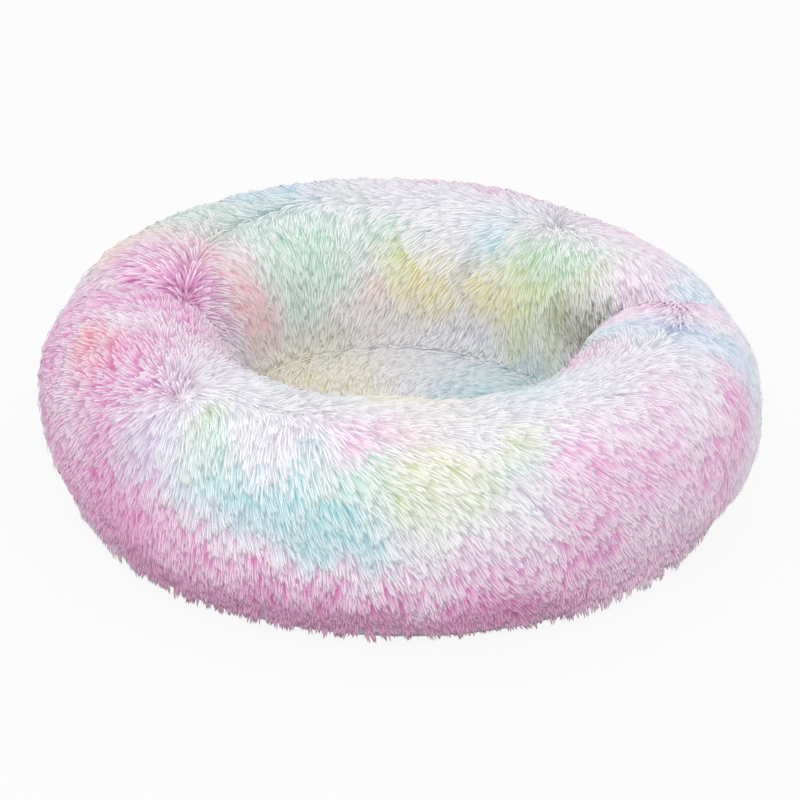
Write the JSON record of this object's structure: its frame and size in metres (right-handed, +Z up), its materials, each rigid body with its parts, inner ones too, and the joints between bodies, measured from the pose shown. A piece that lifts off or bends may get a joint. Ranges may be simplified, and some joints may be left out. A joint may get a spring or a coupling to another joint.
{
  "type": "orthopedic pet bed",
  "caption": "Round bolster bed for a small pet: long-pile fur cover over a fibre ring and a layered foam core, with a zip round the back of its base.",
  "frame": {"origin": "middle of the base's underside, where the bed rests on the floor", "axes": "+Z up along the ring's axis; -Y towards the front of the bed; +X to the right of someone who faces the front; the zip is at +Y"},
  "size_m": [0.5997, 0.6, 0.185],
  "materials": {
    "rim_fur": "long-pile faux fur, dyed in pastel patches",
    "centre_fur": "long-pile faux fur, pale",
    "base_cloth": "woven non-slip cloth with rubber dots",
    "woven_tape": "woven tape",
    "liner_cloth": "plain white liner cloth",
    "polyester_fibre": "lofty fibre",
    "support_foam": "open-cell foam",
    "memory_foam": "memory foam with egg-crate peaks",
    "nylon_coil": "nylon coil",
    "nickel": "nickel-plated die casting"
  },
  "bodies": {
    "bed": {"rim_fur_cover_near": "rim_fur", "rim_fur_cover_far": "rim_fur", "centre_fur_panel": "centre_fur", "inner_seam_tape": "woven_tape", "base_panel": "base_cloth", "base_seam_tape": "woven_tape", "zip_tape_upper": "woven_tape", "zip_tape_lower": "woven_tape", "zip_coil_upper": "nylon_coil", "zip_coil_lower": "nylon_coil", "zip_bottom_stop": "nickel", "zip_top_stop_upper": "nickel", "zip_top_stop_lower": "nickel", "bolster_liner_upper": "liner_cloth", "bolster_liner_lower": "liner_cloth", "bolster_fibre_fill": "polyester_fibre", "core_liner_top": "liner_cloth", "core_liner_base": "liner_cloth", "memory_foam_topper": "memory_foam", "support_foam_slab": "support_foam"},
    "slider": {"zip_slider": "nickel"},
    "pull_tab": {"zip_pull_tab": "nickel"}
  },
  "joints": [
    {"name": "zip_slide", "type": "hinge", "parent": "bed", "child": "slider", "pos_m": [0, 0, 0], "axis": [0, 0, -1], "range_deg": [0, 107]},
    {"name": "pull_tab_flip", "type": "hinge", "parent": "slider", "child": "pull_tab", "pos_m": [-0.22671, 0.1665, 0.02761], "axis": [-0.4324, 0.3176, 0.8439], "range_deg": [0, 175]}
  ]
}
